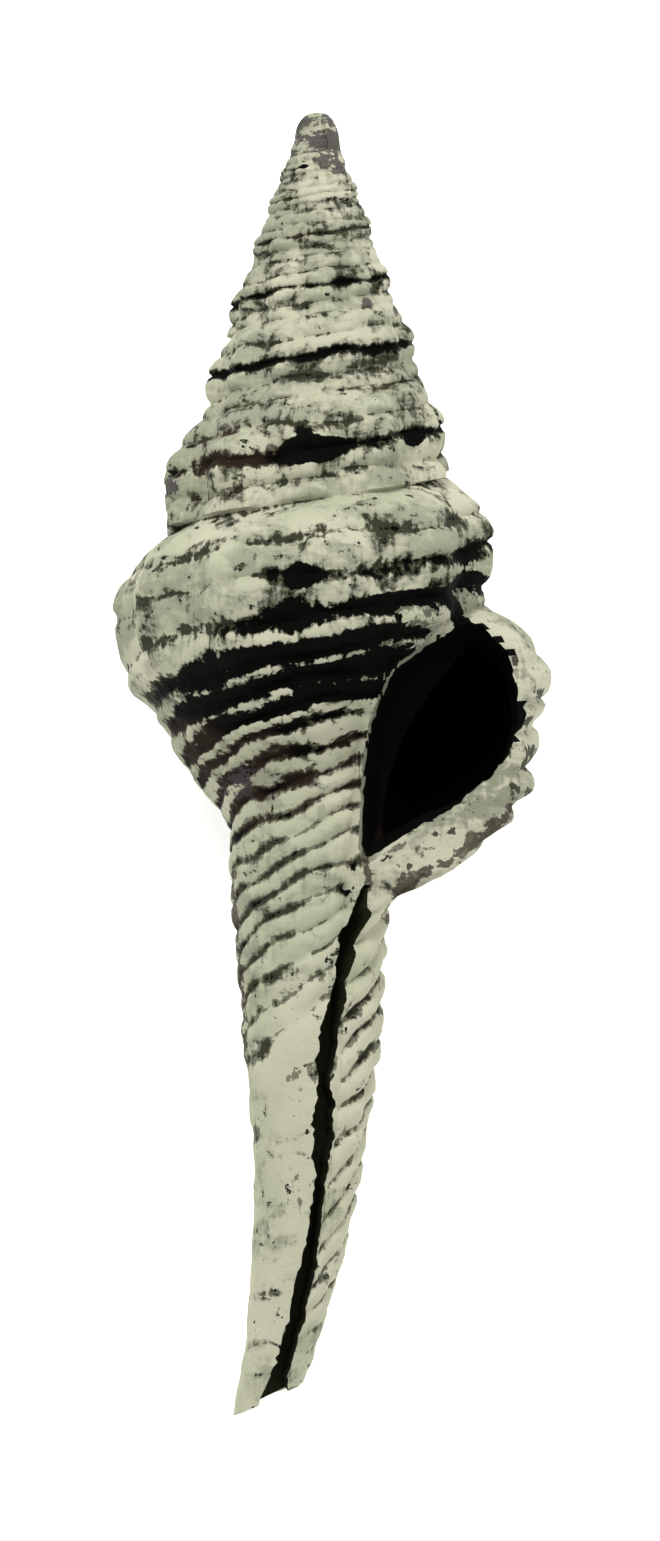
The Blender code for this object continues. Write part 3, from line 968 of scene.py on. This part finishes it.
def groove_marks(places, level, angle):
    """How far each vertex lies into the nearest groove's painted shade, the blackness of that
    shade, and the base, where that shade grows.
    """
    index, share = cord_place(level + wander(level, angle))
    base_painted_shade = window(*BASE_LEVELS, level) * (angle < SPIRE_TURNS[1])
    on_base = read_table(BASE_SHADE, angle + read_table(BASE_SHIFT, level))
    kept = (1 + base_painted_shade * (on_base - 1)) * canal_fade(places, level, angle)
    kept = kept * (1 - TOP_FADE * ease(*TOP_TURNS, angle))
    lip = np.maximum(ease(*LIP_FADE_TURNS, angle), ease(*CANAL_LEVELS, level))
    width = groove_value(SHADE_WIDTH, index, share, angle) * kept
    width = (width + NO_GROOVE) * lip * grown(angle) - NO_GROOVE
    shade_blackness = groove_value(SHADE_BLACKNESS, index, share, angle) * kept
    return np.abs(2 * share - 1) - (1 - width), shade_blackness, base_painted_shade


def nearest_of(mesh, points):
    """For each vertex its own place and the nearest point of the outside."""
    tree = kdtree.KDTree(len(points))
    for index, place in enumerate(points):
        tree.insert(place, index)
    tree.balance()
    inverse = TO_ROW.inverted()
    places = np.array([inverse @ vertex.co for vertex in mesh.vertices])
    return places, np.array([tree.find(place)[1] for place in places])


def faces_with(mesh, chosen, how):
    """Which faces have all or any of their corners among the chosen vertices."""
    return np.array([how(chosen[list(face.vertices)]) for face in mesh.polygons])


def cut_faces(mesh, places, points, faces):
    """Which faces were made by a cutter: one of their corners lies off the first outside."""
    tree = bvhtree.BVHTree.FromPolygons([tuple(place) for place in points], faces)
    gaps = np.array([tree.find_nearest(Vector(place))[-1] for place in places])
    return faces_with(mesh, gaps > CUT_GAP, np.any)


def store(mesh, name, values, domain="POINT"):
    """Keeps numbers or vectors on the mesh, for the finish to read by name."""
    is_vector = np.ndim(values) == 2
    layer = mesh.attributes.new(name, "FLOAT_VECTOR" if is_vector else "FLOAT", domain)
    field = "vector" if is_vector else "value"
    layer.data.foreach_set(field, np.ravel(values).astype(np.float32))


def place_marks(places, level, angle):
    """What the finish needs at each vertex, by name."""
    across, drop = places[:, 0], -places[:, 2]
    groove, shade_blackness, base_painted_shade = groove_marks(places, level, angle)
    canal = ease(*CANAL_LEVELS, level)
    on_right = ease(*OUTER_LIP_ACROSS, across)
    border = INNER_LIP_WIDTH + on_right * (OUTER_LIP_WIDTH - INNER_LIP_WIDTH)
    low_lip = ease(*LOW_LIP_DROPS, drop) * ease(*LOW_LIP_ACROSS, across)
    return {
        "own_place": places,
        "groove": groove,
        "shade_blackness": shade_blackness,
        "base_painted_shade": base_painted_shade,
        "canal": canal * (angle < SPIRE_TURNS[1]),
        "slit": ease(*SLIT_COLOUR_DROPS, drop),
        "spire": ease(*SPIRE_TURNS, angle) + ease(*TOP_TURNS, angle),
        # Painted shade between the ribs
        "rib_trough_shade": -rib_wave(angle) * grown(angle) * ease(*LIP_RUN, angle) * (1 - canal),
        "outer_lip": np.maximum(on_right, low_lip),
        "rim": 1 - past_mouth(places) / border,
        "callus_and_shade": spots(places, CALLUS_AND_SHADE),
        "brown": spots(places, BROWN_STAINS),
        "purple": np.maximum(spots(places, PURPLE_STAINS), ease(*FIRST_WHORL_TURNS, angle)),
        "shade_blot": spots(places, SHADE_BLOTS),
        "lip_edge_shade": spots(places, LIP_EDGE_SHADE),
        "stain_and_shade_line": np.max([near_line(places, *line) for line in STAIN_AND_SHADE_LINES], axis=0),
        "seam_shade": near_line(places, *SHADE_SEAM),
    }


def store_marks(mesh, points, faces, levels, angles):
    """Stores on the mesh what the finish needs."""
    places, nearest = nearest_of(mesh, points)
    level, angle = levels[nearest], angles[nearest]
    older = (angle < OLDER_WHORL_TURN) & (-places[:, 2] < OLDER_WHORL_DROP)
    level = np.where(older, level * WHORL_GROWTH, level)
    angle = np.where(older, angle + 360, angle)
    for name, values in place_marks(places, level, angle).items():
        store(mesh, name, values)
    low = np.array([vertex.co.z for vertex in mesh.vertices]) < WORN_HEIGHT * MM
    worn = faces_with(mesh, low, np.all)
    core = faces_with(mesh, nearest >= len(points) - COLUMNS, np.all)
    store(mesh, "inside", (cut_faces(mesh, places, points, faces) | core) & ~worn, "FACE")
    store(mesh, "worn", worn, "FACE")


def build_shell():
    points, faces, levels, angles = outer_surface()
    points = roughened(points, angles)
    made = mesh_object("shell_surface", points, faces)
    cut(made, [hollow_cutter(), mouth_cutter(), slit_cutter(), floor_cutter()])
    store_marks(made.data, points, faces, levels, angles)
    made.data.shade_smooth()
    made.data.set_sharp_from_angle(angle=math.radians(SHARP_FROM))
    return made


def add_node(tree, kind, values, **settings):
    """A shader node; a value that is a socket is linked, and any other is set."""
    made = tree.nodes.new(kind)
    for name, value in settings.items():
        setattr(made, name, value)
    for key, value in values.items():
        socket = made.inputs[key]
        if isinstance(value, bpy.types.NodeSocket):
            tree.links.new(value, socket)
        else:
            socket.default_value = value
    return made


def calc(tree, operation, first, second):
    return add_node(tree, "ShaderNodeMath", {0: first, 1: second}, operation=operation).outputs[0]


def attribute(tree, name, output="Fac"):
    return add_node(tree, "ShaderNodeAttribute", {}, attribute_name=name).outputs[output]


def noise_value(tree, place, stretch, scale, detail, roughness, distortion):
    """Noise around 0 at a stretched place."""
    stretched = add_node(
        tree, "ShaderNodeVectorMath", {0: place, 1: stretch}, operation="MULTIPLY",
    )
    made = add_node(tree, "ShaderNodeTexNoise", {
        "Vector": stretched.outputs[0], "Scale": scale, "Detail": detail,
        "Roughness": roughness, "Distortion": distortion,
    })
    return calc(tree, "SUBTRACT", made.outputs[0], NOISE_MIDDLE)


def weighted_sum(tree, values, weights):
    total = 0.0
    for name, weight in weights.items():
        total = calc(tree, "ADD", total, calc(tree, "MULTIPLY", values[name], weight))
    return total


def ramp(tree, value, low, high, start, end):
    """Goes smoothly from start to end as the value goes from low to high."""
    values = {"Value": value, "From Min": low, "From Max": high, "To Min": start, "To Max": end}
    return add_node(tree, "ShaderNodeMapRange", values, interpolation_type="SMOOTHSTEP").outputs[0]


def mixed(tree, value, reach, first, second):
    """Goes from the first colour to the second over a reach of the value."""
    share = value
    if reach:
        low, high, cover = reach
        share = ramp(tree, value, low, high, 0.0, cover)
    sockets = {MIX_SHARE: share, MIX_FIRST: first, MIX_SECOND: second}
    return add_node(tree, "ShaderNodeMix", sockets, data_type="RGBA").outputs[MIX_RESULT]


def finish_values(tree):
    """Stored marks, noises and their sums, by name."""
    own_place = attribute(tree, "own_place", "Vector")
    values = {name: attribute(tree, name) for name in MARKS}
    for name, settings in NOISES.items():
        values[name] = noise_value(tree, own_place, *settings)
    smoother = ramp(tree, values["canal"], 0.0, 1.0, 1.0, CANAL_ROUGHNESS)
    values["rough_edge"] = calc(tree, "MULTIPLY", weighted_sum(tree, values, ROUGH_EDGE), smoother)
    for name, weights in SUMS.items():
        values[name] = weighted_sum(tree, values, weights)
    return values


def finish_colours(tree, values):
    """Plain colours and those that change with a value, by name."""
    colours = {
        name: tuple((part / 255) ** SCREEN_GAMMA for part in screen) + (1.0,)
        for name, screen in COLOURS.items()
    }
    for name, first, second, value, reach in MIXES:
        colours[name] = mixed(tree, values[value], reach, colours[first], colours[second])
    return colours


def shell_material():
    """Chalky cream with mottling and stains, painted shade in the grooves and at the lip, and
    painted shade as black on the faces inside the hollows.
    """
    material = bpy.data.materials.new("fossil_shell")
    material.use_nodes = True
    tree = material.node_tree
    surface = tree.nodes["Principled BSDF"].inputs
    values = finish_values(tree)
    colours = finish_colours(tree, values)
    colour = colours["ground"]
    for value, reach, over in LAYERS:
        colour = mixed(tree, values[value], reach, colour, colours[over])
    bump = add_node(tree, "ShaderNodeBump", {
        "Strength": BUMP_STRENGTH, "Distance": BUMP_DISTANCE, "Height": values["height"],
    })
    tree.links.new(bump.outputs[0], surface["Normal"])
    tree.links.new(colour, surface["Base Color"])
    tree.links.new(ramp(tree, values["grain"], *ROUGHNESS_REACH), surface["Roughness"])
    surface["Specular IOR Level"].default_value = SPECULAR
    return material


def floor_material():
    material = bpy.data.materials.new("light_table")
    material.use_nodes = True
    surface = material.node_tree.nodes["Principled BSDF"].inputs
    surface["Base Color"].default_value = FLOOR_COLOUR
    surface["Roughness"].default_value = FLOOR_ROUGHNESS
    surface["Emission Color"].default_value = WHITE
    surface["Emission Strength"].default_value = FLOOR_GLOW
    return material


def add_floor():
    bpy.ops.mesh.primitive_plane_add(size=FLOOR_SIZE, location=(0, 0, -FLOOR_GAP * MM))
    floor = bpy.context.object
    floor.name = "floor"
    floor.data.materials.append(floor_material())


def row_direction(place):
    """A direction of the shell's own frame, turned into the row's."""
    return (TO_ROW.to_3x3() @ Vector(place)).normalized()


def add_camera():
    """Looks square at the shell's axis from the aperture's side, as the photograph does."""
    distance = IMAGE_HEIGHT * MM_PER_PIXEL * LENS / SENSOR
    across = (IMAGE_CENTRE[0] - AXIS_PIXEL) * MM_PER_PIXEL
    drop = (IMAGE_CENTRE[1] - SPIRAL_START_PIXEL) * MM_PER_PIXEL
    camera = bpy.data.objects.new("camera", bpy.data.cameras.new("camera"))
    bpy.context.scene.collection.objects.link(camera)
    camera.data.lens = LENS
    camera.data.sensor_width = SENSOR
    camera.data.clip_start = CLIP_START
    right, up, away = row_direction((1, 0, 0)), row_direction((0, 0, 1)), row_direction((0, -1, 0))
    place = TO_ROW @ Vector((across, 0, -drop)) + away * distance * MM
    turn = Matrix((right, up, away)).transposed().to_4x4()
    camera.matrix_world = Matrix.Translation(place) @ turn
    bpy.context.scene.camera = camera


def add_light(name, direction, distance, size, power):
    """A soft square light, aimed at the middle of the shell."""
    light = bpy.data.objects.new(name, bpy.data.lights.new(name, "AREA"))
    bpy.context.scene.collection.objects.link(light)
    light.data.size = size
    light.data.energy = power
    towards = Vector(direction).normalized()
    light.location = towards * distance + Vector((0, 0, AIM_HEIGHT))
    light.rotation_euler = towards.to_track_quat("Z", "Y").to_euler()


def add_sky():
    world = bpy.data.worlds.new("studio")
    world.use_nodes = True
    background = world.node_tree.nodes["Background"].inputs
    background["Color"].default_value = WHITE
    background["Strength"].default_value = SKY_STRENGTH
    bpy.context.scene.world = world
    bpy.context.scene.view_settings.view_transform = "Standard"


shell = build_shell()
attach(shell, "root")
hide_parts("shell")
shell.data.materials.clear()
shell.data.materials.append(shell_material())

add_floor()
add_camera()
for light_settings in LIGHTS:
    add_light(*light_settings)
add_sky()
